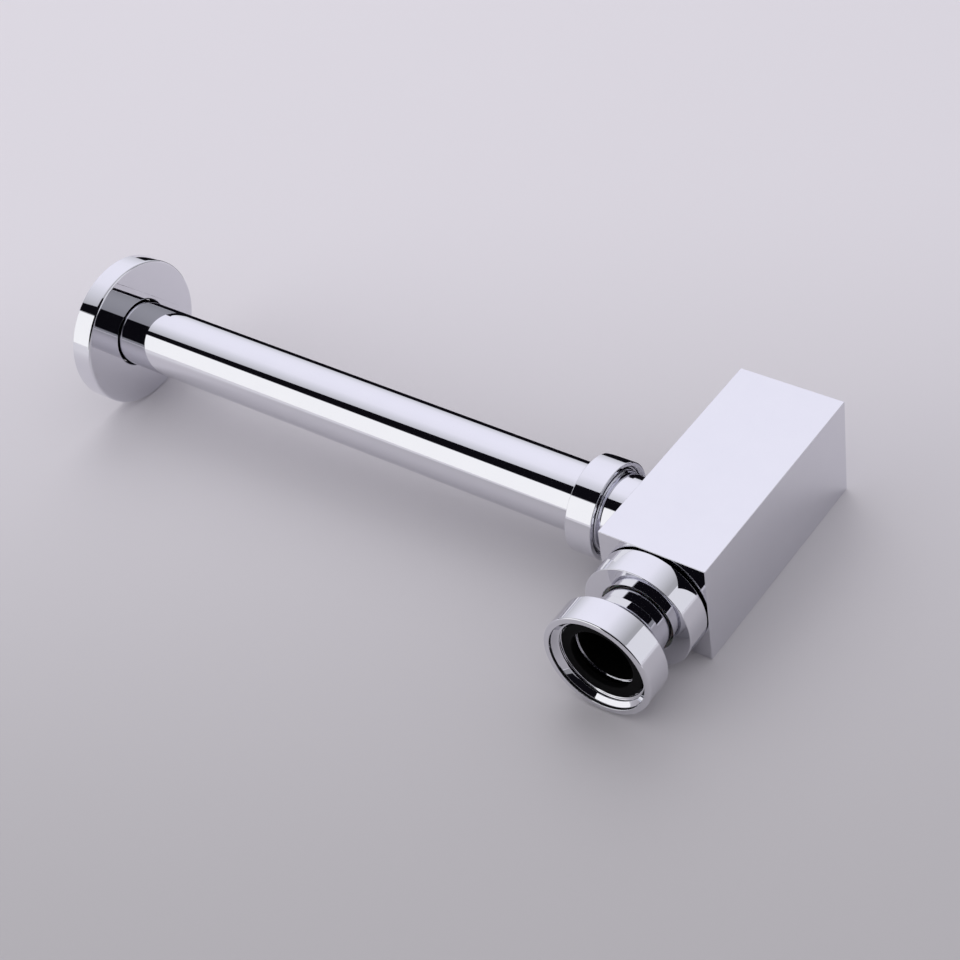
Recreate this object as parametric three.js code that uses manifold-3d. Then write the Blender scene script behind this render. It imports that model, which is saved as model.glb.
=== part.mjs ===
// Square bottle trap for a wash basin: a chrome-plated brass P trap that lies on its side.
// X runs along the waste tube, with the wall flange at -X. Y runs along the bottle, with the
// inlet at -Y and the closed bottom at +Y. Z is up, and lengths are millimetres.
import * as THREE from 'three';
import { mergeVertices } from 'three/addons/utils/BufferGeometryUtils.js';
import Module from 'manifold-3d';

const wasm = await Module();
wasm.setup();

// ---- Driving sizes -----------------------------------------------------------------------

const SEGMENTS = 48;           // sides of every turned piece
const FLANGE_SEGMENTS = 64;
const FIT = 0.35;              // gap between pieces that touch, screw or slide on the real trap

// Bottle: a square drawn tube with two brazed end plates
const BOTTLE_SIDE = 51;
const BOTTLE_LENGTH = 116;
const BOTTLE_WALL = 2.5;
const END_PLATE = 3;
const OUTLET_FROM_INLET_END = 35.5;   // inlet end face to the waste tube's axis

// The two tubes share one section
const TUBE_OUTER = 16;
const TUBE_WALL = 1;
const TUBE_BORE = TUBE_OUTER - TUBE_WALL;
const TUBE_SEAT = TUBE_OUTER + FIT;   // bore that a tube slides in
const WASTE_TUBE_LENGTH = 300;
const WASTE_TUBE_START = 2;           // from the bottle's side face, inside the outlet spigot
const WASTE_TUBE_END = WASTE_TUBE_START + WASTE_TUBE_LENGTH;
const INLET_TUBE_DIP = 92;            // how far the inlet tube reaches into the bottle

// Slip joints: spigot, cone seal, slip washer and nut, stacked outwards
const MOUTH_DEPTH = 4;                // conical mouth at the spigot's end
const MOUTH_RIM = 1;                  // wall left around the mouth
const SEAL_HEAD = 1.4;                // flat ring above the seal's cone
const SEAL_NOSE_WALL = 0.5;
const SLIP_WASHER = 1.2;
const NUT_LIP = 2.5;
const NUT_LIP_HOLE = TUBE_OUTER + 1.1;
const EDGE = 0.6;                     // broken edges of the nuts

// Inlet slip joint
const INLET_THREAD = TUBE_OUTER + 4.6;   // radius over the spigot's thread
const INLET_NUT_WALL = 4.55;
const INLET_NUT_OUTER = INLET_THREAD + FIT + INLET_NUT_WALL;
const INLET_NUT_END = 14;             // outer face of the nut, from the bottle's inlet face
const INLET_NUT_GAP = 1;              // nut to the bottle's inlet face
const INLET_SHANK = TUBE_OUTER + 2;   // part of the spigot inside the end plate

// Outlet slip joint
const OUTLET_THREAD = TUBE_OUTER + 3.7;
const OUTLET_THREAD_LENGTH = 7.2;
const OUTLET_NUT_WALL = 2.45;
const OUTLET_NUT_OUTER = OUTLET_THREAD + FIT + OUTLET_NUT_WALL;
const OUTLET_NUT_START = 14.9;        // nearest face of the nut, from the bottle's side face
const OUTLET_NUT_END = 28.1;
const OUTLET_NECK = TUBE_OUTER + 2;
const OUTLET_WATERWAY = TUBE_BORE - 0.8; // leaves a step that stops the tube
const OUTLET_NECK_INSIDE = 0.6;       // how far the neck stands into the bottle

// Collar on the inlet tube's end, with a brazed sleeve below it
const COLLAR_THICKNESS = 2;
const COLLAR_RIM = 1.65;              // how far the collar stands out past its sleeve
const COLLAR_SLEEVE = 5;
const COLLAR_SLEEVE_WALL = 1.2;
const SLEEVE_OUTER = TUBE_SEAT + COLLAR_SLEEVE_WALL;
const COLLAR_OUTER = SLEEVE_OUTER + COLLAR_RIM;

// Union nut that joins the trap to the basin waste
const UNION_END = 45;                 // mouth of the nut, from the bottle's inlet face
const UNION_BARREL = 14;              // straight part behind the mouth
const UNION_CONE = 4.5;               // steep shoulder behind the barrel
const UNION_NECK = 6.1;               // slim neck behind the shoulder
const UNION_NECK_RISE = 1.4;          // how much the neck widens towards the shoulder
const UNION_TAIL_WALL = 0.65;         // wall at the thin end of the neck
const UNION_WALL = 4.55;              // outside the thread
const UNION_THREAD_CREST = COLLAR_OUTER + 0.8;
const UNION_THREAD_ROOT = UNION_THREAD_CREST + 0.95;
const UNION_THREAD_PITCH = 2.309;
const UNION_THREAD_TURNS = 3;
const UNION_OUTER = UNION_THREAD_ROOT + UNION_WALL;
const UNION_MOUTH = UNION_THREAD_ROOT + 1.75;  // where the mouth's chamfer meets the rim
const UNION_SEAT_DEPTH = 10;          // mouth to the shoulder that the collar bears on
const UNION_WASHER_OUTER = UNION_THREAD_CREST - 0.7;
const UNION_WASHER_INNER = TUBE_BORE - 0.4;
const UNION_WASHER_THICKNESS = 3;

// Wall flange
const FLANGE_OUTER = 36.5;
const FLANGE_THICKNESS = 11;
const FLANGE_FRONT = WASTE_TUBE_END - 7; // the tube's end stands 7 mm behind the front face
const FLANGE_WALL = 1.4;
const FLANGE_HOLE = TUBE_OUTER + 1.2;
const FLANGE_EDGE = 0.9;
const FLANGE_HUB_WALL = 1.2;
const FLANGE_HUB_LENGTH = 6;
const GRIP_RING_OUTER = TUBE_OUTER + 2.8;
const GRIP_RING_LENGTH = 3.4;

// ---- Materials ---------------------------------------------------------------------------

const finish = {
  chrome: { color: 0xd8d8de, metalness: 1, roughness: 0.06 },
  rubber: { color: 0x101012, metalness: 0, roughness: 0.7 },
  plastic: { color: 0xdcdcd6, metalness: 0, roughness: 0.45 },
};

function named(name, geometry, kind) {
  const mesh = new THREE.Mesh(geometry, new THREE.MeshStandardMaterial(finish[kind]));
  mesh.name = name;
  return mesh;
}

// ---- Shape helpers -----------------------------------------------------------------------

// A ring turned about Y from a closed outline of [radius, height] points, in either direction.
function turned(outline, segments = SEGMENTS) {
  const points = outline.map(([radius, height]) => new THREE.Vector2(radius, height));
  if (THREE.ShapeUtils.area(points) < 0) points.reverse();
  points.push(points[0].clone());
  return new THREE.LatheGeometry(points, segments);
}

// A plain sleeve between two radii and two heights.
function sleeve(inner, outer, low, high) {
  return turned([[inner, low], [outer, low], [outer, high], [inner, high]]);
}

function squarePath(side) {
  const h = side / 2;
  return [[-h, -h], [h, -h], [h, h], [-h, h]].map(([x, y]) => new THREE.Vector2(x, y));
}

// A square plate or tube whose length runs along +Y from 0.
function squareBar(side, length, hole) {
  const shape = new THREE.Shape(squarePath(side));
  if (hole) shape.holes.push(hole);
  const geometry = new THREE.ExtrudeGeometry(shape, {
    depth: length, bevelEnabled: false, curveSegments: SEGMENTS / 2,
  });
  return geometry.rotateX(-Math.PI / 2);
}

function roundHole(radius) {
  return new THREE.Path().absarc(0, 0, radius, 0, 2 * Math.PI, true);
}

function toSolid(geometry) {
  const plain = geometry.clone().deleteAttribute('normal').deleteAttribute('uv');
  const merged = mergeVertices(plain, 1e-4);
  return new wasm.Manifold(new wasm.Mesh({
    numProp: 3,
    vertProperties: new Float32Array(merged.attributes.position.array),
    triVerts: new Uint32Array(merged.index.array),
  }));
}

function toGeometry(solid) {
  const mesh = solid.getMesh();
  const geometry = new THREE.BufferGeometry();
  geometry.setAttribute('position', new THREE.BufferAttribute(mesh.vertProperties, 3));
  geometry.setIndex(new THREE.BufferAttribute(mesh.triVerts, 1));
  geometry.computeVertexNormals();
  return geometry;
}

// ---- Slip joint --------------------------------------------------------------------------

// Heights of the stack, outwards from the spigot's end: they all follow from the nut's end.
function slipStack(nutEnd) {
  const washerHigh = nutEnd - NUT_LIP - FIT;
  const washerLow = washerHigh - SLIP_WASHER;
  const sealHigh = washerLow - FIT;
  return { nutEnd, washerHigh, washerLow, sealHigh, spigotEnd: sealHigh - SEAL_HEAD };
}

function mouthRadius(stack, thread, height) {
  const share = (height - stack.spigotEnd + MOUTH_DEPTH) / MOUTH_DEPTH;
  return TUBE_SEAT + (thread - MOUTH_RIM - TUBE_SEAT) * share;
}

function coneSeal(stack, thread) {
  const head = mouthRadius(stack, thread, stack.spigotEnd) - FIT;
  const nose = TUBE_SEAT + SEAL_NOSE_WALL;
  const slope = (thread - MOUTH_RIM - TUBE_SEAT) / MOUTH_DEPTH;
  const noseLow = stack.spigotEnd - (head - nose) / slope;
  return turned([
    [TUBE_SEAT, noseLow], [nose, noseLow], [head, stack.spigotEnd],
    [head, stack.sealHigh], [TUBE_SEAT, stack.sealHigh],
  ]);
}

function slipWasher(stack, thread) {
  return sleeve(TUBE_SEAT, thread - FIT, stack.washerLow, stack.washerHigh);
}

function slipNut(stack, start, outer, thread) {
  const bore = thread + FIT;
  const lipLow = stack.nutEnd - NUT_LIP;
  return turned([
    [bore, start + EDGE], [bore + EDGE, start], [outer - EDGE, start], [outer, start + EDGE],
    [outer, stack.nutEnd - EDGE], [outer - EDGE, stack.nutEnd],
    [NUT_LIP_HOLE + EDGE, stack.nutEnd], [NUT_LIP_HOLE, stack.nutEnd - EDGE],
    [NUT_LIP_HOLE, lipLow], [bore, lipLow],
  ]);
}

// ---- Bottle ------------------------------------------------------------------------------

// The square tube, bored through one side for the outlet spigot.
function bottleTube() {
  const inside = new THREE.Path(squarePath(BOTTLE_SIDE - 2 * BOTTLE_WALL));
  const tube = toSolid(squareBar(BOTTLE_SIDE, BOTTLE_LENGTH, inside));
  const drill = new THREE.CylinderGeometry(
    OUTLET_NECK + FIT, OUTLET_NECK + FIT, BOTTLE_SIDE / 2, SEGMENTS);
  drill.rotateZ(Math.PI / 2);
  drill.translate(-BOTTLE_SIDE / 2, OUTLET_FROM_INLET_END, 0);
  return toGeometry(tube.subtract(toSolid(drill)));
}

function endPlate(hole) {
  return squareBar(BOTTLE_SIDE - 2 * BOTTLE_WALL - 2 * FIT, END_PLATE, hole);
}

function bottle() {
  const group = new THREE.Group();
  const inletPlate = named('inlet_end_plate', endPlate(roundHole(INLET_SHANK + FIT)), 'chrome');
  const bottomPlate = named('bottom_end_plate', endPlate(), 'chrome');
  bottomPlate.position.y = BOTTLE_LENGTH - END_PLATE;
  group.add(named('bottle_tube', bottleTube(), 'chrome'), inletPlate, bottomPlate);
  return group;
}

// ---- Inlet: heights are measured outwards from the bottle's inlet face --------------------

function inletSpigot(stack) {
  const mouth = INLET_THREAD - MOUTH_RIM;
  return turned([
    [TUBE_SEAT, -END_PLATE], [INLET_SHANK, -END_PLATE], [INLET_SHANK, FIT],
    [INLET_THREAD, FIT], [INLET_THREAD, stack.spigotEnd - EDGE],
    [INLET_THREAD - EDGE, stack.spigotEnd], [mouth, stack.spigotEnd],
    [TUBE_SEAT, stack.spigotEnd - MOUTH_DEPTH],
  ]);
}

const SEAT = UNION_END - UNION_SEAT_DEPTH;            // shoulder inside the union nut
const COLLAR_LOW = SEAT + FIT;
const COLLAR_HIGH = COLLAR_LOW + COLLAR_THICKNESS;
const WASHER_LOW = COLLAR_HIGH + FIT;
const WASHER_HIGH = WASHER_LOW + UNION_WASHER_THICKNESS;

// The brazed collar: a flat ring with a sleeve around the tube's end.
function inletCollar() {
  return turned([
    [TUBE_SEAT, COLLAR_LOW - COLLAR_SLEEVE], [SLEEVE_OUTER, COLLAR_LOW - COLLAR_SLEEVE],
    [SLEEVE_OUTER, COLLAR_LOW], [COLLAR_OUTER, COLLAR_LOW], [COLLAR_OUTER, COLLAR_HIGH],
    [TUBE_SEAT, COLLAR_HIGH],
  ]);
}

// Thread grooves of the union nut, as rings from the seat up to the mouth.
function unionThread() {
  const points = [];
  const crestFlat = UNION_THREAD_PITCH / 6;
  const first = UNION_END - EDGE - UNION_THREAD_TURNS * UNION_THREAD_PITCH;
  for (let turn = 0; turn < UNION_THREAD_TURNS; turn += 1) {
    const low = first + turn * UNION_THREAD_PITCH;
    points.push([UNION_THREAD_CREST, low], [UNION_THREAD_CREST, low + crestFlat]);
    points.push([UNION_THREAD_ROOT, low + UNION_THREAD_PITCH / 2]);
    points.push([UNION_THREAD_ROOT, low + UNION_THREAD_PITCH / 2 + crestFlat]);
  }
  return points;
}

function unionNut() {
  const neck = UNION_END - UNION_BARREL - UNION_CONE;
  const tail = neck - UNION_NECK;
  const tailOuter = TUBE_SEAT + UNION_TAIL_WALL;
  const relief = SLEEVE_OUTER + FIT;                  // room for the collar's sleeve
  const reliefLow = COLLAR_LOW - COLLAR_SLEEVE - FIT;
  return turned([
    [TUBE_SEAT, tail], [tailOuter, tail], [tailOuter + UNION_NECK_RISE, neck],
    [UNION_OUTER, neck + UNION_CONE], [UNION_OUTER, UNION_END - EDGE],
    [UNION_OUTER - EDGE, UNION_END], [UNION_MOUTH, UNION_END],
    ...unionThread().reverse(),
    [UNION_THREAD_CREST, SEAT], [relief, SEAT], [relief, reliefLow], [TUBE_SEAT, reliefLow],
  ]);
}

function inlet() {
  const stack = slipStack(INLET_NUT_END);
  const group = new THREE.Group();
  group.rotation.z = Math.PI;
  group.add(
    named('inlet_spigot', inletSpigot(stack), 'chrome'),
    named('inlet_cone_seal', coneSeal(stack, INLET_THREAD), 'rubber'),
    named('inlet_slip_washer', slipWasher(stack, INLET_THREAD), 'plastic'),
    named('inlet_slip_nut',
      slipNut(stack, INLET_NUT_GAP, INLET_NUT_OUTER, INLET_THREAD), 'chrome'),
    named('inlet_tube', sleeve(TUBE_BORE, TUBE_OUTER, -INLET_TUBE_DIP, COLLAR_HIGH), 'chrome'),
    named('inlet_tube_collar', inletCollar(), 'chrome'),
    named('union_washer',
      sleeve(UNION_WASHER_INNER, UNION_WASHER_OUTER, WASHER_LOW, WASHER_HIGH), 'rubber'),
    named('union_nut', unionNut(), 'chrome'),
  );
  return group;
}

// ---- Outlet: heights are measured outwards from the bottle's side face --------------------

function outletSpigot(stack) {
  const mouth = OUTLET_THREAD - MOUTH_RIM;
  const inside = -BOTTLE_WALL - OUTLET_NECK_INSIDE;
  const stop = WASTE_TUBE_START - FIT;
  const threadLow = stack.spigotEnd - OUTLET_THREAD_LENGTH;
  return turned([
    [OUTLET_WATERWAY, inside], [OUTLET_NECK, inside], [OUTLET_NECK, threadLow],
    [OUTLET_THREAD, threadLow + EDGE], [OUTLET_THREAD, stack.spigotEnd - EDGE],
    [OUTLET_THREAD - EDGE, stack.spigotEnd], [mouth, stack.spigotEnd],
    [TUBE_SEAT, stack.spigotEnd - MOUTH_DEPTH], [TUBE_SEAT, stop], [OUTLET_WATERWAY, stop],
  ]);
}

// A turned cup with a short hub behind its hole, which holds the grip ring.
function wallFlange() {
  const back = FLANGE_FRONT + FLANGE_THICKNESS;
  const inside = FLANGE_FRONT + FLANGE_WALL;
  const hubEnd = FLANGE_FRONT + FLANGE_HUB_LENGTH;
  const hubBore = GRIP_RING_OUTER + FIT;
  return turned([
    [FLANGE_HOLE, FLANGE_FRONT], [FLANGE_OUTER - FLANGE_EDGE, FLANGE_FRONT],
    [FLANGE_OUTER, FLANGE_FRONT + FLANGE_EDGE], [FLANGE_OUTER, back],
    [FLANGE_OUTER - FLANGE_WALL, back], [FLANGE_OUTER - FLANGE_WALL, inside],
    [hubBore + FLANGE_HUB_WALL, inside], [hubBore + FLANGE_HUB_WALL, hubEnd],
    [hubBore, hubEnd], [hubBore, inside], [FLANGE_HOLE, inside],
  ], FLANGE_SEGMENTS);
}

function gripRing() {
  const low = FLANGE_FRONT + FLANGE_WALL + FIT;
  return sleeve(TUBE_SEAT, GRIP_RING_OUTER, low, low + GRIP_RING_LENGTH);
}

function outlet() {
  const stack = slipStack(OUTLET_NUT_END);
  const group = new THREE.Group();
  group.position.set(-BOTTLE_SIDE / 2, OUTLET_FROM_INLET_END, 0);
  group.rotation.z = Math.PI / 2;
  group.add(
    named('outlet_spigot', outletSpigot(stack), 'chrome'),
    named('outlet_cone_seal', coneSeal(stack, OUTLET_THREAD), 'rubber'),
    named('outlet_slip_washer', slipWasher(stack, OUTLET_THREAD), 'plastic'),
    named('outlet_slip_nut',
      slipNut(stack, OUTLET_NUT_START, OUTLET_NUT_OUTER, OUTLET_THREAD), 'chrome'),
    named('waste_tube',
      sleeve(TUBE_BORE, TUBE_OUTER, WASTE_TUBE_START, WASTE_TUBE_END), 'chrome'),
    named('flange_grip_ring', gripRing(), 'rubber'),
    named('wall_flange', wallFlange(), 'chrome'),
  );
  return group;
}

// ---- The trap, with its origin under the middle of its box -------------------------------

const trap = new THREE.Group();
trap.add(bottle(), inlet(), outlet());

trap.updateMatrixWorld(true);
const box = new THREE.Box3().setFromObject(trap, true);
const middle = box.getCenter(new THREE.Vector3());
trap.position.set(-middle.x, -middle.y, -box.min.z);

export default trap;
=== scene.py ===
"""Square chrome bottle trap for a wash basin, lying on its side on a pale studio floor.

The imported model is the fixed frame. Every piece of it is remade here as a fine mesh in the same
place, with rounded edges and real threads, and rides on the same body.
"""

from __future__ import annotations

import logging
import math
from collections.abc import Callable, Sequence
from dataclasses import dataclass, field
from enum import Enum

import bmesh
import bpy
from mathutils import Matrix, Vector


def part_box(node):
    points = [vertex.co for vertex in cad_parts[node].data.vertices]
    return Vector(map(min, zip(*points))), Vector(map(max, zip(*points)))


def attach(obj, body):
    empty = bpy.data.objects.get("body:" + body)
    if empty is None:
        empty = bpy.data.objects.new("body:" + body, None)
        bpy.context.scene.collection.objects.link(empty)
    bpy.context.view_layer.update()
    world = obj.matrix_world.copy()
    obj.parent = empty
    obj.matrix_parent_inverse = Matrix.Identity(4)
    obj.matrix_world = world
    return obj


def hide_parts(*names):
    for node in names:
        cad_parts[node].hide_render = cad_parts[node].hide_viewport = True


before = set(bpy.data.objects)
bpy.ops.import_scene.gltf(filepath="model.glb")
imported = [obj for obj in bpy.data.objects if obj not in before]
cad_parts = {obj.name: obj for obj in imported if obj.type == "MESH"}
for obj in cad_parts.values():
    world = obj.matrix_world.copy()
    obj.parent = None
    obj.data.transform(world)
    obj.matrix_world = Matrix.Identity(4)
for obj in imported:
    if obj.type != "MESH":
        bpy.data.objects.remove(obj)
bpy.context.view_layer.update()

log = logging.getLogger("bottle_trap")

MM = 0.001
TURN_STEPS = 192        # faces round a turned piece
ROUND_STEPS = 4         # faces across a rounded edge
THREAD_RINGS = 14       # rings of faces along one turn of thread
GAP = 0.35              # clearance between pieces, as in the frame
TUBE = 16.0             # outer radius of the inlet tube and the waste tube
TUBE_WALL = 1.0
ON_RADIUS = 1e-6        # m, within which a corner lies on a thread's stretch


class Slot(Enum):
    """Material slots of the record."""

    CHROME = "chrome_brass"
    RUBBER = "black_rubber"
    PLASTIC = "white_plastic"


# ---- Shader helpers ------------------------------------------------------------------------


def colour(code: str) -> tuple[float, float, float, float]:
    """Turns an sRGB hex code such as "#E6E6EC" into a linear colour with alpha 1."""
    def linear(value: float) -> float:
        """Turns one sRGB channel, 0 to 1, into a linear one."""
        return value / 12.92 if value <= 0.04045 else ((value + 0.055) / 1.055) ** 2.4

    red, green, blue = (int(code[i:i + 2], 16) / 255 for i in (1, 3, 5))
    return (linear(red), linear(green), linear(blue), 1.0)


def add(tree: bpy.types.NodeTree, kind: str, settings: dict | None = None,
        **inputs: object) -> bpy.types.Node:
    """Adds a node, sets its properties, and sets or links its inputs.

    Args:
        tree: The node tree.
        kind: The node's type name.
        settings: Values of the node's own properties.
        inputs: Values or output sockets by input name, with _ for a space, or by i and the
            input's number.

    Returns:
        The new node.
    """
    node = tree.nodes.new(kind)
    for key, value in (settings or {}).items():
        setattr(node, key, value)
    for key, value in inputs.items():
        name = key.replace("_", " ")
        socket = node.inputs[int(key[1:])] if key[1:].isdigit() else node.inputs[name]
        if isinstance(value, bpy.types.NodeSocket):
            tree.links.new(value, socket)
        else:
            socket.default_value = value
    return node


def new_material(name: str) -> tuple[bpy.types.Material, bpy.types.NodeTree, bpy.types.Node]:
    """Makes an empty node material.

    Args:
        name: The material's name.

    Returns:
        The material, its tree and its Principled shader, which is linked to the output.
    """
    material = bpy.data.materials.new(name)
    material.use_nodes = True
    tree = material.node_tree
    tree.nodes.clear()
    shader = add(tree, "ShaderNodeBsdfPrincipled")
    add(tree, "ShaderNodeOutputMaterial", Surface=shader.outputs["BSDF"])
    return material, tree, shader


# ---- Finishes ------------------------------------------------------------------------------


@dataclass(frozen=True)
class PolishedChrome:
    """Bright decorative chromium over nickel on buffed brass.

    It mirrors the room sharply. Buffing leaves a very faint waviness and hairline wipe marks,
    which only soften the reflections a little.
    """

    name: str = "polished_chrome"
    tint: str = "#E7E7EC"
    shade: str = "#E3E3E9"
    rough_low: float = 0.018
    rough_high: float = 0.05
    cloud: float = 14.0             # mm between the slow changes of tone
    waviness: float = 9.0           # mm between the buffing's soft waves
    wipe: float = 0.6               # mm between hairline marks, coarser than real to show
    bump: float = 0.012

    def build(self) -> bpy.types.Material:
        """Builds the material."""
        material, tree, shader = new_material(self.name)
        spot = add(tree, "ShaderNodeTexCoord").outputs["Object"]
        cloud = add(tree, "ShaderNodeTexNoise", Vector=spot, Scale=1 / (self.cloud * MM),
                    Detail=3.0)
        tint = add(tree, "ShaderNodeMix", {"data_type": "RGBA"}, Factor=cloud.outputs["Fac"],
                   i6=colour(self.shade), i7=colour(self.tint))
        marks = add(tree, "ShaderNodeTexNoise", Vector=spot, Scale=1 / (self.wipe * MM),
                    Detail=4.0, Roughness=0.7)
        rough = add(tree, "ShaderNodeMapRange", Value=marks.outputs["Fac"], From_Min=0.35,
                    From_Max=0.75, To_Min=self.rough_low, To_Max=self.rough_high)
        waves = add(tree, "ShaderNodeTexNoise", Vector=spot, Scale=1 / (self.waviness * MM),
                    Detail=1.0)
        bump = add(tree, "ShaderNodeBump", Strength=self.bump, Distance=0.2 * MM,
                   Height=waves.outputs["Fac"])
        shader.inputs["Metallic"].default_value = 1.0
        tree.links.new(tint.outputs[2], shader.inputs["Base Color"])
        tree.links.new(rough.outputs["Result"], shader.inputs["Roughness"])
        tree.links.new(bump.outputs["Normal"], shader.inputs["Normal"])
        return material


@dataclass(frozen=True)
class BoreMetalPaintedShade:
    """The unpolished inside of a drawn brass tube, with a satin skin from the plating bath.

    Its grey-brown is painted far darker than bare brass, as painted shade for the unlit bore,
    and mottled where the bath has reached it unevenly.
    """

    name: str = "dull_bore_painted_shade"
    # painted shade: both tones are far darker than bare brass and stand for the unlit bore
    tint: str = "#55524E"
    shade: str = "#34322F"
    roughness: float = 0.42
    grain: float = 1.6              # mm between the mottling's spots
    bump: float = 0.25

    def build(self) -> bpy.types.Material:
        """Builds the material."""
        material, tree, shader = new_material(self.name)
        spot = add(tree, "ShaderNodeTexCoord").outputs["Object"]
        grain = add(tree, "ShaderNodeTexNoise", Vector=spot, Scale=1 / (self.grain * MM),
                    Detail=5.0)
        tint = add(tree, "ShaderNodeMix", {"data_type": "RGBA"}, Factor=grain.outputs["Fac"],
                   i6=colour(self.shade), i7=colour(self.tint))
        bump = add(tree, "ShaderNodeBump", Strength=self.bump, Distance=0.1 * MM,
                   Height=grain.outputs["Fac"])
        shader.inputs["Metallic"].default_value = 1.0
        shader.inputs["Roughness"].default_value = self.roughness
        tree.links.new(tint.outputs[2], shader.inputs["Base Color"])
        tree.links.new(bump.outputs["Normal"], shader.inputs["Normal"])
        return material


@dataclass(frozen=True)
class MouldedRubber:
    """Black EPDM rubber, press moulded: nearly matt, with a fine grain and a grey bloom."""

    name: str = "moulded_rubber"
    tint: str = "#060607"
    bloom: str = "#0B0B0C"
    rough_low: float = 0.55
    rough_high: float = 0.72
    specular: float = 0.08
    cloud: float = 5.0              # mm between the patches of bloom
    grain: float = 0.5              # mm between the mould's pits, coarser than real to show
    bump: float = 0.3

    def build(self) -> bpy.types.Material:
        """Builds the material."""
        material, tree, shader = new_material(self.name)
        spot = add(tree, "ShaderNodeTexCoord").outputs["Object"]
        cloud = add(tree, "ShaderNodeTexNoise", Vector=spot, Scale=1 / (self.cloud * MM),
                    Detail=4.0)
        tint = add(tree, "ShaderNodeMix", {"data_type": "RGBA"}, Factor=cloud.outputs["Fac"],
                   i6=colour(self.tint), i7=colour(self.bloom))
        pits = add(tree, "ShaderNodeTexNoise", Vector=spot, Scale=1 / (self.grain * MM),
                   Detail=3.0)
        rough = add(tree, "ShaderNodeMapRange", Value=cloud.outputs["Fac"],
                    To_Min=self.rough_low, To_Max=self.rough_high)
        bump = add(tree, "ShaderNodeBump", Strength=self.bump, Distance=0.05 * MM,
                   Height=pits.outputs["Fac"])
        shader.inputs["Specular IOR Level"].default_value = self.specular
        tree.links.new(tint.outputs[2], shader.inputs["Base Color"])
        tree.links.new(rough.outputs["Result"], shader.inputs["Roughness"])
        tree.links.new(bump.outputs["Normal"], shader.inputs["Normal"])
        return material


@dataclass(frozen=True)
class MouldedNylon:
    """Natural nylon, injection moulded: milky off-white with a satin skin."""

    name: str = "moulded_nylon"
    tint: str = "#E4E3DA"
    shade: str = "#D6D4C8"
    roughness: float = 0.4
    cloud: float = 4.0              # mm between the milky patches
    bump: float = 0.15
    glow: float = 0.1               # share of light that passes under the skin
    glow_depth: float = 1.0         # mm that it reaches

    def build(self) -> bpy.types.Material:
        """Builds the material."""
        material, tree, shader = new_material(self.name)
        spot = add(tree, "ShaderNodeTexCoord").outputs["Object"]
        cloud = add(tree, "ShaderNodeTexNoise", Vector=spot, Scale=1 / (self.cloud * MM),
                    Detail=3.0)
        tint = add(tree, "ShaderNodeMix", {"data_type": "RGBA"}, Factor=cloud.outputs["Fac"],
                   i6=colour(self.shade), i7=colour(self.tint))
        bump = add(tree, "ShaderNodeBump", Strength=self.bump, Distance=0.05 * MM,
                   Height=cloud.outputs["Fac"])
        shader.inputs["Roughness"].default_value = self.roughness
        shader.inputs["Subsurface Weight"].default_value = self.glow
        shader.inputs["Subsurface Scale"].default_value = self.glow_depth * MM
        tree.links.new(tint.outputs[2], shader.inputs["Base Color"])
        tree.links.new(bump.outputs["Normal"], shader.inputs["Normal"])
        return material


# ---- Turned shapes -------------------------------------------------------------------------


@dataclass(frozen=True)
class Corner:
    """One corner of a turned outline, in millimetres, with the radius it is rounded to."""

    radius: float
    height: float
    round: float = 0.0


@dataclass(frozen=True)
class Thread:
    """A screw thread cut in one straight stretch of a turned outline.

    The stretch lies at the thread's root on a spigot and in a nut alike, so that one wave,
    measured from the axis, leaves the same clearance everywhere between the two.
    """

    radius: float       # the outline's radius along the thread
    low: float
    high: float
    pitch: float
    depth: float        # positive stands out from the axis, negative towards it
    runout: float = 1.2

    def offset(self, angle: float, height: float) -> float:
        """Gives how far the surface stands off the outline.

        Args:
            angle: Angle about the axis, in radians.
            height: Height along the axis, in mm.

        Returns:
            The offset in mm, along the radius.
        """
        phase = height / self.pitch - angle / (2 * math.pi)
        wave = min(1.0, max(0.0, 0.5 + 0.85 * math.cos(2 * math.pi * phase)))
        if self.depth < 0:
            wave = 1 - wave
        edge = min(height - self.low, self.high - height) / self.runout
        return self.depth * wave * min(1.0, max(0.0, edge))


@dataclass(frozen=True)
class Axis:
    """Where a turned piece's axis starts and which way its heights run, in the frame."""

    start: Vector
    out: Vector

    def matrix(self) -> Matrix:
        """Gives the matrix that places a piece turned about +Z, in metres."""
        turn = Vector((0, 0, 1)).rotation_difference(self.out).to_matrix().to_4x4()
        return Matrix.Translation(self.start) @ turn


def outline_edges(mesh: bmesh.types.BMesh, corners: Sequence[Corner]) -> None:
    """Draws a closed outline in the XZ plane and rounds its corners."""
    verts = [mesh.verts.new((c.radius * MM, 0, c.height * MM)) for c in corners]
    for here, there in zip(verts, verts[1:] + verts[:1]):
        mesh.edges.new((here, there))
    for size in sorted({c.round for c in corners if c.round > 0}):
        rounded = [v for v, c in zip(verts, corners) if c.round == size]
        bmesh.ops.bevel(mesh, geom=rounded, offset=size * MM, offset_type="OFFSET",
                        segments=ROUND_STEPS, profile=0.5, affect="VERTICES", material=-1,
                        clamp_overlap=True)


def cut_thread_rings(mesh: bmesh.types.BMesh, thread: Thread) -> None:
    """Splits the outline's stretch that takes a thread into rings."""
    def on_thread(vert: bmesh.types.BMVert) -> bool:
        """Tells whether a corner ends the threaded stretch."""
        return (abs(vert.co.x - thread.radius * MM) < ON_RADIUS
                and thread.low - 0.01 <= vert.co.z / MM <= thread.high + 0.01)

    edges = [e for e in mesh.edges if all(on_thread(v) for v in e.verts)]
    rings = round((thread.high - thread.low) / thread.pitch * THREAD_RINGS)
    bmesh.ops.subdivide_edges(mesh, edges=edges, cuts=rings)


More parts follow.
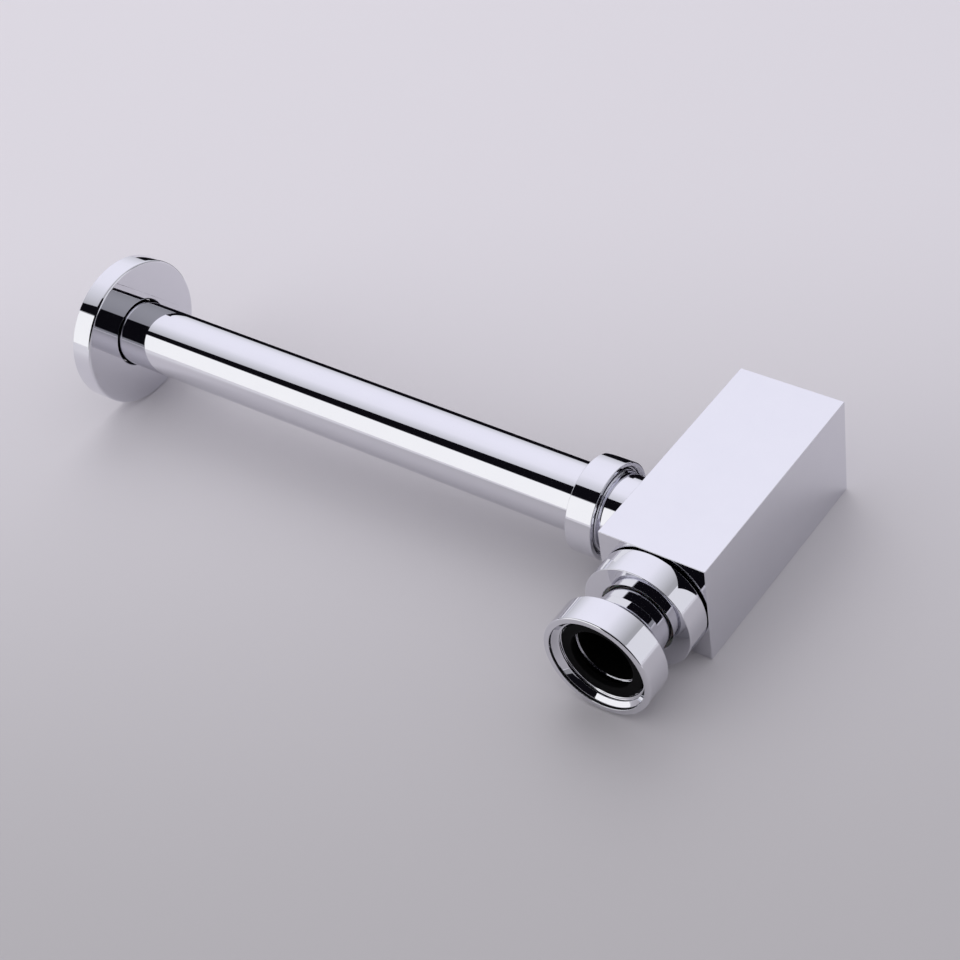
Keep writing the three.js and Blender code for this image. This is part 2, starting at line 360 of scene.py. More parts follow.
def raise_thread(mesh: bmesh.types.BMesh, thread: Thread) -> None:
    """Moves the rings of a threaded stretch in and out along the helix."""
    for vert in mesh.verts:
        radius, height = vert.co.xy.length, vert.co.z / MM
        if abs(radius - thread.radius * MM) < ON_RADIUS and thread.low < height < thread.high:
            angle = math.atan2(vert.co.y, vert.co.x)
            scale = 1 + thread.offset(angle, height) * MM / radius
            vert.co.x *= scale
            vert.co.y *= scale


def turn(corners: Sequence[Corner], threads: Sequence[Thread] = (),
         steps: int = TURN_STEPS) -> bmesh.types.BMesh:
    """Turns a closed outline about +Z.

    Args:
        corners: The outline's corners in order, in mm.
        threads: Threads cut in straight stretches of the outline.
        steps: Faces round the piece.

    Returns:
        The closed mesh, in metres.
    """
    mesh = bmesh.new()
    outline_edges(mesh, corners)
    for thread in threads:
        cut_thread_rings(mesh, thread)
    bmesh.ops.spin(mesh, geom=list(mesh.verts) + list(mesh.edges), cent=(0, 0, 0),
                   axis=(0, 0, 1), angle=2 * math.pi, steps=steps, use_merge=True)
    for thread in threads:
        raise_thread(mesh, thread)
    bmesh.ops.recalc_face_normals(mesh, faces=list(mesh.faces))
    return mesh


# ---- Pieces --------------------------------------------------------------------------------


@dataclass(frozen=True)
class Piece:
    """What a fine mesh is: its name, the frame nodes it stands for, body, slot and finishes."""

    name: str
    nodes: tuple[str, ...]
    body: str
    slot: Slot
    finishes: tuple[bpy.types.Material, ...]


def place(mesh: bmesh.types.BMesh, piece: Piece,
          finish_of: Callable[[bmesh.types.BMFace], int] | None = None) -> None:
    """Makes an object of a mesh that is already in the frame, and lets it ride on its body.

    Args:
        mesh: The mesh, which is freed.
        piece: What the object is.
        finish_of: Picks one of the piece's finishes for each face.
    """
    for face in mesh.faces:
        face.smooth = True
        if finish_of:
            face.material_index = finish_of(face)
    data = bpy.data.meshes.new(piece.name)
    mesh.to_mesh(data)
    mesh.free()
    made = bpy.data.objects.new(piece.name, data)
    bpy.context.scene.collection.objects.link(made)
    for finish in piece.finishes:
        data.materials.append(finish)
    weigh = made.modifiers.new("even_shading", "WEIGHTED_NORMAL")
    weigh.weight = 100
    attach(made, piece.body)
    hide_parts(*piece.nodes)
    log.info("%s: %d faces on %s", piece.name, len(data.polygons), piece.body)


def bore_faces(axis: Axis, radius: float) -> Callable[[bmesh.types.BMFace], int]:
    """Picks finish 1 for faces that look towards the axis from nearer than a radius.

    Args:
        axis: The piece's axis.
        radius: In mm.

    Returns:
        The function that picks a face's finish.
    """
    def pick(face: bmesh.types.BMFace) -> int:
        """Gives 1 for a face of the bore, else 0."""
        away = face.calc_center_median() - axis.start
        away -= axis.out * away.dot(axis.out)
        return int(away.length < radius * MM and face.normal.dot(away) < -0.95 * away.length)

    return pick


@dataclass
class TurnedRun:
    """A run of pieces that are all turned on one axis.

    Heights are in mm outwards from the bottle, and follow the frame's stack of pieces.
    """

    axis: Axis
    finishes: dict[str, bpy.types.Material]

    def turned(self, corners: Sequence[Corner], node: str, body: str, slot: Slot,
               finishes: Sequence[str], threads: Sequence[Thread] = (), bore: float = 0.0,
               steps: int = TURN_STEPS) -> None:
        """Turns one piece on the run's axis and stands it for its frame node.

        Args:
            corners: The piece's outline, in mm.
            node: The frame node that it stands for.
            body: The body that it rides on.
            slot: Its material slot.
            finishes: Names of its finishes, of which the second is its bore's.
            threads: Threads cut in the outline.
            bore: Radius that holds the bore's faces, in mm, or 0 for one finish all over.
            steps: Faces round the piece.
        """
        mesh = turn(corners, threads, steps)
        bmesh.ops.transform(mesh, matrix=self.axis.matrix(), verts=list(mesh.verts))
        piece = Piece(f"{node}_fine", (node,), body, slot,
                      tuple(self.finishes[f] for f in finishes))
        place(mesh, piece, bore_faces(self.axis, bore) if bore else None)


@dataclass
class SlipJoint(TurnedRun):
    """A spigot's end with its cone seal, slip washer and nut."""

    prefix: str
    thread: float                   # radius over the spigot's thread
    pitch: float
    thread_depth: float
    nut_start: float
    nut_end: float
    nut_outer: float
    edge: float = 0.45
    tube: float = TUBE
    lip: float = 2.5
    lip_hole: float = 17.1
    washer: float = 1.2
    seal_head: float = 1.4
    mouth_rim: float = 1.0
    mouth_depth: float = 4.0
    nose_wall: float = 0.5          # seal's wall at the thin end of its cone
    plain_end: float = 0.6          # spigot past its thread
    nut_mouth: float = 0.8          # chamfer where the nut takes the spigot
    nut_thread_start: float = 1.1   # from the nut's near face
    nut_thread_stop: float = 1.2    # short of the nut's lip
    spigot_end: float = field(init=False)
    thread_high: float = field(init=False)
    washer_low: float = field(init=False)
    seat: float = field(init=False)

    def __post_init__(self) -> None:
        """Works out the stack's heights and the sliding bore."""
        self.washer_low = self.nut_end - self.lip - GAP - self.washer
        self.spigot_end = self.washer_low - GAP - self.seal_head
        self.thread_high = self.spigot_end - self.plain_end
        self.seat = self.tube + GAP

    def male_thread(self, low: float) -> Thread:
        """Gives the spigot's thread from a height up to its plain end."""
        root = self.thread - self.thread_depth
        return Thread(root, low, self.thread_high, self.pitch, self.thread_depth)

    def build_seal(self) -> None:
        """Builds the cone seal: a wedge ring with a flat head and a small lip at its nose."""
        mouth = self.thread - self.mouth_rim
        head = mouth - GAP
        nose = self.seat + self.nose_wall
        slope = (mouth - self.seat) / self.mouth_depth
        nose_low = self.spigot_end - (head - nose) / slope
        top = self.washer_low - GAP
        self.turned([
            Corner(self.seat, nose_low, 0.12), Corner(nose, nose_low, 0.15),
            Corner(head, self.spigot_end, 0.3), Corner(head, top, 0.35),
            Corner(self.seat, top, 0.25),
        ], f"{self.prefix}_cone_seal", f"{self.prefix}_seal", Slot.RUBBER, ("rubber",))

    def build_washer(self) -> None:
        """Builds the slip washer that lets the nut turn without dragging the seal."""
        outer = self.thread - GAP
        low, high = self.washer_low, self.washer_low + self.washer
        self.turned([
            Corner(self.seat, low, 0.15), Corner(outer, low, 0.2),
            Corner(outer, high, 0.2), Corner(self.seat, high, 0.15),
        ], f"{self.prefix}_slip_washer", f"{self.prefix}_thrust", Slot.PLASTIC, ("nylon",))

    def build_nut(self) -> None:
        """Builds the slip nut: a plain barrel, threaded inside, with a lip round the tube."""
        bore = self.thread + GAP
        lip_low = self.nut_end - self.lip
        low = self.nut_start + self.nut_thread_start
        high = lip_low - self.nut_thread_stop
        female = Thread(bore, low, high, self.pitch, -self.thread_depth)
        self.turned([
            Corner(bore, low), Corner(bore, self.nut_start + self.nut_mouth),
            Corner(bore + self.nut_mouth, self.nut_start, 0.15),
            Corner(self.nut_outer, self.nut_start, self.edge),
            Corner(self.nut_outer, self.nut_end, self.edge),
            Corner(self.lip_hole, self.nut_end, self.edge),
            Corner(self.lip_hole, lip_low, 0.2), Corner(bore, lip_low, 0.4),
            Corner(bore, high),
        ], f"{self.prefix}_slip_nut", f"{self.prefix}_nut", Slot.CHROME, ("chrome",),
            [female])


@dataclass
class InletSlip(SlipJoint):
    """The slip joint where the inlet tube enters the bottle's end."""

    shank: float = 18.0
    end_plate: float = 3.0
    thread_low: float = 1.4
    end_chamfer: float = 0.2

    def build(self) -> None:
        """Builds the spigot, seal, washer and nut."""
        root = self.thread - self.thread_depth
        low = self.thread_low
        self.turned([
            Corner(self.seat, -self.end_plate, 0.2), Corner(self.shank, -self.end_plate, 0.2),
            Corner(self.shank, GAP), Corner(root, GAP, 0.2), Corner(root, low),
            Corner(root, self.thread_high),
            Corner(root - self.end_chamfer, self.spigot_end, 0.15),
            Corner(self.thread - self.mouth_rim, self.spigot_end, 0.1),
            Corner(self.seat, self.spigot_end - self.mouth_depth, 0.2),
        ], f"{self.prefix}_spigot", "bottle", Slot.CHROME, ("chrome",),
            [self.male_thread(low)])
        self.build_seal()
        self.build_washer()
        self.build_nut()


@dataclass
class OutletSlip(SlipJoint):
    """The slip joint where the waste tube leaves the bottle's side, on a plain neck."""

    neck: float = 18.0
    waterway: float = 14.2
    inside: float = 3.1             # how far the neck reaches in past the bottle's side face
    thread_length: float = 7.2
    thread_start: float = 2.0       # plain root between the neck's shoulder and the thread
    end_chamfer: float = 0.2
    bore_margin: float = 0.5        # past the seat's radius, to catch all of its faces
    tube_start: float = 2.0

    def build(self) -> None:
        """Builds the spigot, seal, washer and nut."""
        root = self.thread - self.thread_depth
        shoulder = self.spigot_end - self.thread_length
        low = shoulder + self.thread_start
        stop = self.tube_start - GAP
        self.turned([
            Corner(self.waterway, -self.inside, 0.3), Corner(self.neck, -self.inside, 0.3),
            Corner(self.neck, shoulder, 0.15), Corner(root, shoulder, 0.25),
            Corner(root, low), Corner(root, self.thread_high),
            Corner(root - self.end_chamfer, self.spigot_end, 0.15),
            Corner(self.thread - self.mouth_rim, self.spigot_end, 0.1),
            Corner(self.seat, self.spigot_end - self.mouth_depth, 0.2),
            Corner(self.seat, stop, 0.1), Corner(self.waterway, stop, 0.2),
        ], f"{self.prefix}_spigot", "bottle", Slot.CHROME, ("chrome", "bore"),
            [self.male_thread(low)], bore=self.seat + self.bore_margin)
        self.build_seal()
        self.build_washer()
        self.build_nut()


@dataclass
class Bottle:
    """The bottle: a square brass box with brazed ends, ground flush and plated as one."""

    finishes: dict[str, bpy.types.Material]
    wall: float = 2.5
    end_plate: float = 3.0
    arris: float = 0.3
    spigot_hole: float = 18.35
    inner_arris: float = 1.0
    low: Vector = field(init=False)
    high: Vector = field(init=False)

    def __post_init__(self) -> None:
        """Reads the bottle's box from the frame."""
        self.low, self.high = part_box("bottle_tube")

    def block(self, low: Vector, high: Vector, arris: float) -> bmesh.types.BMesh:
        """Makes a block between two corners with rounded edges."""
        mesh = bmesh.new()
        middle = Matrix.Translation((low + high) / 2)
        size = Matrix.Diagonal((high - low).to_4d())
        bmesh.ops.create_cube(mesh, size=1.0, matrix=middle @ size)
        bmesh.ops.bevel(mesh, geom=list(mesh.edges), offset=arris * MM, segments=ROUND_STEPS,
                        profile=0.5, affect="EDGES", material=-1, clamp_overlap=True)
        return mesh

    def drill(self, axis: Axis) -> bmesh.types.BMesh:
        """Makes the drill that cuts a spigot's hole."""
        mesh = bmesh.new()
        radius, length = self.spigot_hole * MM, 4 * self.wall * MM
        bmesh.ops.create_cone(mesh, cap_ends=True, segments=TURN_STEPS, radius1=radius,
                              radius2=radius, depth=length, matrix=axis.matrix())
        return mesh

    def build(self, inlet: Axis, outlet: Axis) -> None:
        """Builds the hollow box with its two holes.

        Args:
            inlet: Axis of the inlet spigot.
            outlet: Axis of the outlet spigot.
        """
        inset = Vector((self.wall, self.end_plate, self.wall)) * MM
        cuts = [self.block(self.low + inset, self.high - inset, self.inner_arris),
                self.drill(inlet), self.drill(outlet)]
        outer = self.block(self.low, self.high, self.arris)
        piece = Piece("bottle_shell", ("bottle_tube", "inlet_end_plate", "bottom_end_plate"),
                      "bottle", Slot.CHROME, (self.finishes["chrome"], self.finishes["bore"]))
        core_low, core_high = self.low + inset * 0.5, self.high - inset * 0.5

        def inside(face: bmesh.types.BMFace) -> int:
            """Gives 1 for a face inside the box's walls."""
            c = face.calc_center_median()
            return int(all(core_low[i] < c[i] < core_high[i] for i in range(3)))

        place(subtract(outer, cuts), piece, inside)


def as_object(mesh: bmesh.types.BMesh, name: str) -> bpy.types.Object:
    """Makes a plain scratch object of a mesh, which is freed."""
    data = bpy.data.meshes.new(name)
    mesh.to_mesh(data)
    mesh.free()
    made = bpy.data.objects.new(name, data)
    bpy.context.scene.collection.objects.link(made)
    return made


def subtract(body: bmesh.types.BMesh,
             tools: Sequence[bmesh.types.BMesh]) -> bmesh.types.BMesh:
    """Cuts tools out of a body with exact booleans.

    Args:
        body: The mesh to cut, which is freed.
        tools: The meshes to take away, which are freed.

    Returns:
        The cut mesh.
    """
    target = as_object(body, "cut_body")
    cutters = [as_object(tool, "cut_tool") for tool in tools]
    for cutter in cutters:
        cut = target.modifiers.new("cut", "BOOLEAN")
        cut.operation = "DIFFERENCE"
        cut.solver = "EXACT"
        cut.object = cutter
    bpy.context.view_layer.update()
    ready = target.evaluated_get(bpy.context.evaluated_depsgraph_get())
    mesh = bmesh.new()
    mesh.from_mesh(ready.to_mesh())
    ready.to_mesh_clear()
    for scratch in [target, *cutters]:
        data = scratch.data
        bpy.data.objects.remove(scratch)
        bpy.data.meshes.remove(data)
    return mesh


@dataclass
class InletPipe(TurnedRun):
    """The telescopic inlet tube with its collar, union washer and union nut."""

    tube: float = TUBE
    tube_wall: float = TUBE_WALL
    dip: float = 92.0
    counterbore: float = 15.6
    counterbore_depth: float = 2.2
    union_end: float = 45.0
    union_outer: float = 25.5
    barrel: float = 14.0
    cone: float = 4.5
    neck: float = 6.1
    neck_rise: float = 1.4
    tail_wall: float = 0.65
    tail_fit: float = 0.06          # the spun-in tail all but touches the tube
    seat_depth: float = 10.0
    mouth: float = 22.7
    mouth_wall: float = 1.5
    thread_root: float = 20.95
    thread_depth: float = 1.0
    thread_start: float = 1.0       # from the seat
    thread_runout: float = 0.5
    tail_lip: float = 0.8           # length of the tail that is spun in
    pitch: float = 2.309
    collar_outer: float = 19.2
    collar: float = 2.0
    sleeve: float = 5.0
    sleeve_wall: float = 1.2
    washer_outer: float = 19.3
    washer_inner: float = 14.6
    washer: float = 3.0

    def build(self) -> None:
        """Builds the tube, collar, washer and nut."""
        collar_low = self.union_end - self.seat_depth + GAP
        collar_high = collar_low + self.collar
        inner = self.tube - self.tube_wall
        fit = self.tube + GAP
        self.turned([
            Corner(inner, -self.dip, 0.15), Corner(self.tube, -self.dip, 0.3),
            Corner(self.tube, collar_high, 0.1), Corner(self.counterbore, collar_high, 0.1),
            Corner(self.counterbore, collar_high - self.counterbore_depth, 0.1),
            Corner(inner, collar_high - self.counterbore_depth, 0.3),
        ], "inlet_tube", "inlet_pipe", Slot.CHROME, ("chrome", "bore"),
            bore=self.tube - 0.5 * self.tube_wall)
        sleeve_outer = fit + self.sleeve_wall
        self.turned([
            Corner(fit, collar_low - self.sleeve, 0.1),
            Corner(sleeve_outer, collar_low - self.sleeve, 0.4),
            Corner(sleeve_outer, collar_low, 0.3), Corner(self.collar_outer, collar_low, 0.3),
            Corner(self.collar_outer, collar_high, 0.3), Corner(fit, collar_high, 0.1),
        ], "inlet_tube_collar", "inlet_pipe", Slot.CHROME, ("chrome",))
        self.build_washer(collar_high + GAP)
        self.build_nut(collar_low, sleeve_outer)

    def build_washer(self, low: float) -> None:
        """Builds the flat rubber washer."""
        high = low + self.washer
        self.turned([
            Corner(self.washer_inner, low, 0.35), Corner(self.washer_outer, low, 0.35),
            Corner(self.washer_outer, high, 0.35), Corner(self.washer_inner, high, 0.5),
        ], "union_washer", "inlet_pipe", Slot.RUBBER, ("rubber",))

    def build_nut(self, collar_low: float, sleeve_outer: float) -> None:
        """Builds the union nut: a threaded mouth, a barrel, a steep shoulder and a slim neck.

        Args:
            collar_low: Height of the collar's bearing face.
            sleeve_outer: Outer radius of the collar's sleeve.
        """
        end = self.union_end
        neck = end - self.barrel - self.cone
        tail = neck - self.neck
        bore, lip = self.tube + GAP, self.tube + self.tail_fit
        seat = end - self.seat_depth
        relief_low = collar_low - self.sleeve - GAP
        chamfer_high = end - self.mouth_wall
        thread_high = chamfer_high - (self.mouth - self.thread_root)
        thread_low = seat + self.thread_start
        female = Thread(self.thread_root, thread_low, thread_high, self.pitch,
                        -self.thread_depth, self.thread_runout)
        self.turned([
            Corner(lip, tail, 0.1), Corner(bore + self.tail_wall, tail, 0.2),
            Corner(bore + self.tail_wall + self.neck_rise, neck, 2.0),
            Corner(self.union_outer, neck + self.cone, 0.5),
            Corner(self.union_outer, end, 0.9), Corner(self.mouth, end, 0.3),
            Corner(self.mouth, chamfer_high, 0.2),
            Corner(self.thread_root, thread_high), Corner(self.thread_root, thread_low),
            Corner(self.thread_root, seat, 0.3), Corner(sleeve_outer + GAP, seat, 0.2),
            Corner(sleeve_outer + GAP, relief_low, 0.2), Corner(bore, relief_low, 0.2),
            Corner(bore, tail + self.tail_lip + 0.2, 0.1),
            Corner(lip, tail + self.tail_lip, 0.1),
        ], "union_nut", "union", Slot.CHROME, ("chrome",), [female])


@dataclass
class WasteRun(TurnedRun):
    """The waste tube with the wall flange and its grip ring."""

    tube: float = TUBE
    tube_wall: float = TUBE_WALL
    tube_start: float = 2.0
    tube_length: float = 300.0
    front: float = 295.0
    thickness: float = 11.0
    outer: float = 36.5
    wall: float = 1.4
    hole: float = 16.8
    lip: float = 0.7
    edge: float = 1.3
    hub_wall: float = 1.2
    hub_length: float = 6.0
    ring_outer: float = 18.8
    ring_length: float = 3.4
    rib_height: float = 0.6
    flange_steps: int = 256         # faces round the flange, the widest piece

    def build(self) -> None:
        """Builds the tube, the flange and the grip ring."""
        inner = self.tube - self.tube_wall
        end = self.tube_start + self.tube_length
        self.turned([
            Corner(inner, self.tube_start, 0.15), Corner(self.tube, self.tube_start, 0.3),
            Corner(self.tube, end, 0.3), Corner(inner, end, 0.15),
        ], "waste_tube", "waste_pipe", Slot.CHROME, ("chrome", "bore"),
            bore=self.tube - 0.5 * self.tube_wall)
        self.build_flange()
        self.build_grip_ring()

    def build_flange(self) -> None:
        """Builds the wall flange: a pressed cup with a hub behind its hole."""
        back = self.front + self.thickness
        inside = self.front + self.wall
        hub_bore = self.ring_outer + GAP
        hub_end = self.front + self.hub_length
        self.turned([
            Corner(self.hole, self.front, self.lip), Corner(self.outer, self.front, self.edge),
            Corner(self.outer, back, 0.3), Corner(self.outer - self.wall, back, 0.3),
            Corner(self.outer - self.wall, inside, 0.8),
            Corner(hub_bore + self.hub_wall, inside, 0.4),
            Corner(hub_bore + self.hub_wall, hub_end, 0.3), Corner(hub_bore, hub_end, 0.3),
            Corner(hub_bore, inside, 0.1), Corner(self.hole, inside, 0.3),
        ], "wall_flange", "flange", Slot.CHROME, ("chrome",),
            steps=self.flange_steps)

    def build_grip_ring(self) -> None:
        """Builds the rubber ring that holds the flange on the tube, with two grip ribs."""
        low = self.front + self.wall + GAP
        high = low + self.ring_length
        bore = self.tube + GAP
        root = bore + self.rib_height
        rib = self.ring_length / 5
        ribs = [Corner(bore, high, 0.15), Corner(bore, high - rib, 0.15),
                Corner(root, high - 1.5 * rib, 0.1), Corner(root, low + 1.5 * rib, 0.1),
                Corner(bore, low + rib, 0.15), Corner(bore, low, 0.15)]
        self.turned([Corner(self.ring_outer, low, 0.3), Corner(self.ring_outer, high, 0.3),
                     *ribs], "flange_grip_ring", "flange_grip", Slot.RUBBER, ("rubber",))


# ---- Studio --------------------------------------------------------------------------------


@dataclass
class Studio:
    """The pale floor, soft boxes, black cards, camera and surroundings.

    The key is the way to the main light, and the eye is where the camera stands, in metres.
    """

    key: Vector = field(default_factory=lambda: Vector((-0.45, 0.53, 0.71)).normalized())
    eye: Vector = field(default_factory=lambda: Vector((0.5238, -0.5379, 0.6739)))
    floor_size: float = 12.0
    # painted light and shade: the floor's tone runs from shaded near the camera to lit far off
    floor_near_painted_shade: str = "#BEBCBE"
    floor_far_painted_light: str = "#E7E4E9"
    floor_unseen_painted_light: str = "#F4F3F5"   # painted light beside the view, where only the chrome shows it
    floor_roughness: float = 0.8
    room_strength: float = 1.13
    lens: float = 81.0              # mm

    def emitter(self, name: str, code: str, strength: float) -> bpy.types.Material:
        """Makes a card's material, which gives light or stays black."""
        material = bpy.data.materials.new(name)
        material.use_nodes = True
        tree = material.node_tree
        tree.nodes.clear()
        light = add(tree, "ShaderNodeEmission", Color=colour(code), Strength=strength)
        add(tree, "ShaderNodeOutputMaterial", Surface=light.outputs["Emission"])
        return material

    def card(self, name: str, corners: Sequence[tuple[float, float, float]],
             material: bpy.types.Material, lights_room: bool) -> None:
        """Hangs a flat card that the camera doesn't see.

        Args:
            name: The card's name.
            corners: Its corners in order, in metres.
            material: Its finish.
            lights_room: Whether it also lights dull surfaces.
        """
        mesh = bmesh.new()
        mesh.faces.new([mesh.verts.new(c) for c in corners])
        made = as_object(mesh, name)
        made.data.materials.append(material)
        made.visible_camera = False
        made.visible_shadow = False
        made.visible_diffuse = lights_room

    def build_cards(self) -> None:
        """Hangs the white boxes and black cards that the chrome mirrors."""
        front = self.emitter("front_box_light", "#FFFFFF", 1.1)
        self.card("front_box", [(-4.2, -1.6, -0.2), (-0.2, -1.6, -0.2), (-0.2, -1.6, 1.72),
                                (-4.2, -1.6, 1.72)], front, True)
        side = self.emitter("side_box_light", "#F4F4FA", 0.93)
        self.card("side_box", [(1.8, -0.2, -0.1), (1.8, 1.5, -0.1), (1.8, 1.5, 1.4),
                               (1.8, 1.2, 1.7), (1.8, -0.2, 1.7)], side, True)
        black = self.emitter("black_card_face", "#0E0D12", 1.0)
        self.card("ceiling_flag", [(-3.2, -1.6, 1.8), (2.8, -1.6, 1.8), (2.8, -0.4, 1.8),
                                   (1.22, -0.45, 1.8), (-0.9, -0.53, 1.8)], black, False)
        self.card("front_flag", [(-0.2, -1.6, 0.28), (2.8, -1.6, 0.28), (2.8, -1.6, 1.8),
                                 (-0.2, -1.6, 1.8)], black, False)
        self.card("side_flag", [(1.8, -1.6, 0.0), (1.8, -0.2, 0.0), (1.8, -0.2, 1.8),
                                (1.8, -1.6, 1.8)], black, False)
        waste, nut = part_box("waste_tube"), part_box("outlet_slip_nut")
        side_face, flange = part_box("bottle_tube")[0].x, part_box("wall_flange")
        self.edge_flag("tube_edge_flag", waste, flange[1].x, nut[0].x, black)
        self.edge_flag("nut_edge_flag", nut, nut[0].x - 0.004, nut[1].x, black)
        self.edge_flag("neck_edge_flag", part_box("outlet_spigot"), nut[1].x, side_face, black)
        self.edge_flag("flange_edge_flag", flange, flange[0].x - 0.007, flange[1].x - 0.003,
                       black)

    def edge_flag(self, name: str, turned: tuple[Vector, Vector], start: float, end: float,
                  material: bpy.types.Material) -> None:
        """Lays a slim black flag behind a turned piece, which draws its upper edge dark.

        The flag lies in line with the camera, so that no mirror square to the piece shows it.

        Args:
            name: The flag's name.
            turned: The piece's box.
            start: Where the flag starts along X.
            end: Where it ends.
            material: Its finish.
        """
        radius = (turned[1].z - turned[0].z) / 2
        middle = (turned[0] + turned[1]) / 2
        near = Vector((middle.y + 0.75 * radius, middle.z + 0.9 * radius))
        far = near + (near - self.eye.yz).normalized() * 1.6 * radius
        self.card(name, [(start, *near), (end, *near), (end, *far), (start, *far)], material,
                  False)

    def lamp(self, name: str, way: Vector, distance: float, size: float,
             power: float) -> None:
        """Hangs a soft round lamp that lights dull surfaces and isn't mirrored.

        Args:
            name: The lamp's name.
            way: Direction from the trap to the lamp.
            distance: In metres.
            size: The lamp's width, in metres.
            power: In watts.
        """
        data = bpy.data.lights.new(name, "AREA")
        data.shape, data.size, data.energy = "DISK", size, power
        made = bpy.data.objects.new(name, data)
        bpy.context.scene.collection.objects.link(made)
        made.location = way * distance
        made.rotation_euler = way.to_track_quat("Z", "Y").to_euler()
        made.visible_glossy = False
        made.visible_camera = False

    def build_world(self) -> None:
        """Makes the surroundings: one big soft glow that fades with the angle from it.

        Dull surfaces get an even light in its place, which keeps the shadows pale.
        """
        world = bpy.data.worlds.new("studio")
        bpy.context.scene.world = world
        world.use_nodes = True
        tree = world.node_tree
        tree.nodes.clear()
        way = add(tree, "ShaderNodeTexCoord").outputs["Generated"]
        near = add(tree, "ShaderNodeVectorMath", {"operation": "DOT_PRODUCT"}, i0=way,
                   i1=self.key)
        glow = add(tree, "ShaderNodeValToRGB", Fac=near.outputs["Value"])
        ramp = glow.color_ramp
        stops = ((0.0, "#8E8E92"), (0.5, "#A8A8AC"), (0.66, "#C6C6CC"), (0.8, "#DCDCE4"),
                 (0.9, "#EDECF6"), (1.0, "#F1F0FB"))
        ramp.elements[0].position, ramp.elements[0].color = stops[0][0], colour(stops[0][1])
        ramp.elements[1].position, ramp.elements[1].color = stops[-1][0], colour(stops[-1][1])
        for position, code in stops[1:-1]:
            ramp.elements.new(position).color = colour(code)
        room = add(tree, "ShaderNodeBackground", Color=glow.outputs["Color"],
                   Strength=self.room_strength)
        plain = add(tree, "ShaderNodeBackground", Color=colour("#D4D2DA"), Strength=1.0)
        even = add(tree, "ShaderNodeBackground", Color=colour("#CFCDD3"), Strength=1.0)
        path = add(tree, "ShaderNodeLightPath").outputs
        dull = add(tree, "ShaderNodeMixShader", Fac=path["Is Diffuse Ray"],
                   i1=room.outputs["Background"], i2=even.outputs["Background"])
        both = add(tree, "ShaderNodeMixShader", Fac=path["Is Camera Ray"],
                   i1=dull.outputs["Shader"], i2=plain.outputs["Background"])
        add(tree, "ShaderNodeOutputWorld", Surface=both.outputs["Shader"])

    def build_floor(self) -> None:
        """Lays the floor under the two places where the trap rests.

        Its tone is painted light and shade: darkest at the near right as painted shade for the
        light's fall-off, lighter far off as painted light, and lighter again out of the camera's
        sight, at the left and the right, as painted light for the chrome to mirror.
        """
        flange_low, flange_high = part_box("wall_flange")
        bottle_low, bottle_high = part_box("bottle_tube")
        slope = (bottle_low.z - flange_low.z) / (bottle_high.x - flange_high.x)
        lift = flange_low.z - slope * flange_high.x
        mesh = bmesh.new()
        bmesh.ops.create_grid(mesh, x_segments=1, y_segments=1, size=self.floor_size / 2)
        tilt = Matrix.Rotation(-math.atan(slope), 4, "Y")
        bmesh.ops.transform(mesh, matrix=Matrix.Translation((0, 0, lift)) @ tilt,
                            verts=list(mesh.verts))
        floor = as_object(mesh, "floor")
        material, tree, shader = new_material("pale_floor")
        spot = add(tree, "ShaderNodeTexCoord").outputs["Object"]
        along = add(tree, "ShaderNodeVectorMath", {"operation": "DOT_PRODUCT"}, i0=spot,
                    i1=Vector((-0.5, 0.87, 0.0)))
        # painted fall-off of the light: near is painted shade, far is painted light
        painted_falloff = add(tree, "ShaderNodeMapRange", {"interpolation_type": "SMOOTHSTEP"},
                   Value=along.outputs["Value"], From_Min=-0.33, From_Max=0.25)
        tone = add(tree, "ShaderNodeMix", {"data_type": "RGBA"},
                   Factor=painted_falloff.outputs["Result"], i6=colour(self.floor_near_painted_shade),
                   i7=colour(self.floor_far_painted_light))
        # painted light out of the camera's sight, at the left and the right, for the chrome to
        # mirror
        split = add(tree, "ShaderNodeSeparateXYZ", Vector=spot)
        leftwards = add(tree, "ShaderNodeVectorMath", {"operation": "DOT_PRODUCT"}, i0=spot,
                        i1=Vector((-0.71, -0.71, 0.0)))
        left = add(tree, "ShaderNodeMapRange", {"interpolation_type": "SMOOTHSTEP"},
                   Value=leftwards.outputs["Value"], From_Min=0.2, From_Max=0.42)
        right = add(tree, "ShaderNodeMapRange", {"interpolation_type": "SMOOTHSTEP"},
                    Value=split.outputs["X"], From_Min=0.38, From_Max=0.7)
        painted_light_beside = add(tree, "ShaderNodeMath", {"operation": "MAXIMUM"},
                     i0=left.outputs["Result"], i1=right.outputs["Result"])
        whole = add(tree, "ShaderNodeMix", {"data_type": "RGBA"},
                    Factor=painted_light_beside.outputs["Value"], i6=tone.outputs[2],
                    i7=colour(self.floor_unseen_painted_light))
        tree.links.new(whole.outputs[2], shader.inputs["Base Color"])
        shader.inputs["Roughness"].default_value = self.floor_roughness
        floor.data.materials.append(material)

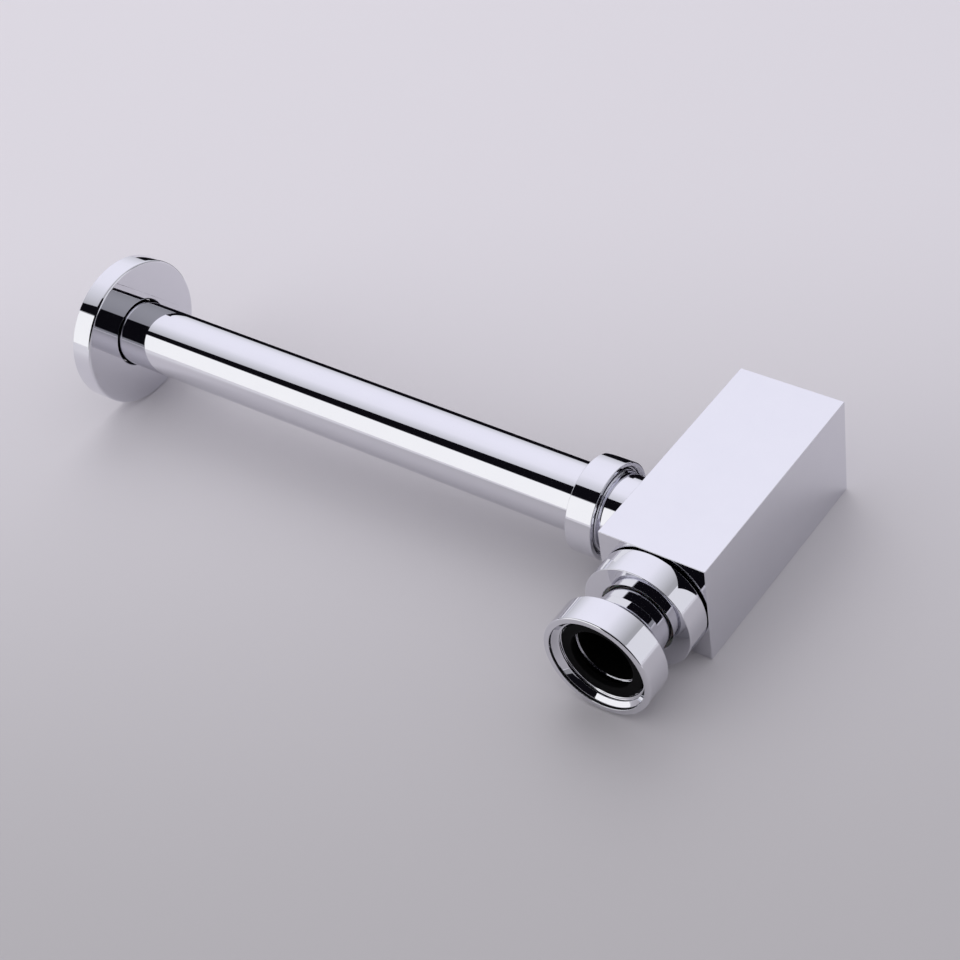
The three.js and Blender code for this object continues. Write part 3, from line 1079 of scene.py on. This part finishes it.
    def build_camera(self) -> None:
        """Sets the camera at the viewing angle, with its small roll."""
        data = bpy.data.cameras.new("camera")
        camera = bpy.data.objects.new("camera", data)
        bpy.context.scene.collection.objects.link(camera)
        bpy.context.scene.camera = camera
        data.sensor_width = 36.0
        data.lens = self.lens
        data.clip_start, data.clip_end = 0.05, 50.0
        right = Vector((0.809, 0.573, -0.132)).normalized()
        ahead = Vector((-0.500, 0.552, -0.668))
        ahead = (ahead - right * ahead.dot(right)).normalized()
        up = right.cross(ahead)
        turn_to = Matrix((right, up, -ahead)).transposed().to_4x4()
        camera.matrix_world = Matrix.Translation(self.eye) @ turn_to

    def build(self) -> None:
        """Builds the whole studio."""
        scene = bpy.context.scene
        scene.view_settings.view_transform = "Standard"
        self.build_camera()
        self.build_floor()
        self.build_cards()
        self.lamp("key", self.key, 2.2, 1.6, 8.0)
        self.lamp("overhead", Vector((0.0, 0.0, 1.0)), 2.4, 3.0, 5.0)
        self.build_world()


# ---- The trap ------------------------------------------------------------------------------


def main() -> None:
    """Builds the trap's pieces and the studio."""
    logging.basicConfig(level=logging.INFO, format="%(name)s %(message)s")
    finishes = {
        "chrome": PolishedChrome().build(),
        # the bores' finish, painted dark as painted shade inside the bores and the bottle
        "bore": BoreMetalPaintedShade().build(),
        "rubber": MouldedRubber().build(),
        "nylon": MouldedNylon().build(),
    }
    low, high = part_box("bottle_tube")
    tube_low, tube_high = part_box("waste_tube")
    middle = (low + high) / 2
    inlet = Axis(Vector((middle.x, low.y, middle.z)), Vector((0, -1, 0)))
    outlet_y = (tube_low.y + tube_high.y) / 2
    outlet = Axis(Vector((low.x, outlet_y, middle.z)), Vector((-1, 0, 0)))
    Bottle(finishes).build(inlet, outlet)
    InletSlip(inlet, finishes, "inlet", thread=20.6, pitch=2.309, thread_depth=1.0,
              nut_start=1.0, nut_end=14.0, nut_outer=25.5).build()
    InletPipe(inlet, finishes).build()
    OutletSlip(outlet, finishes, "outlet", thread=19.7, pitch=1.5, thread_depth=0.8,
               nut_start=14.9, nut_end=28.1, nut_outer=22.5).build()
    WasteRun(outlet, finishes).build()
    Studio().build()


if __name__ == "__main__":
    main()
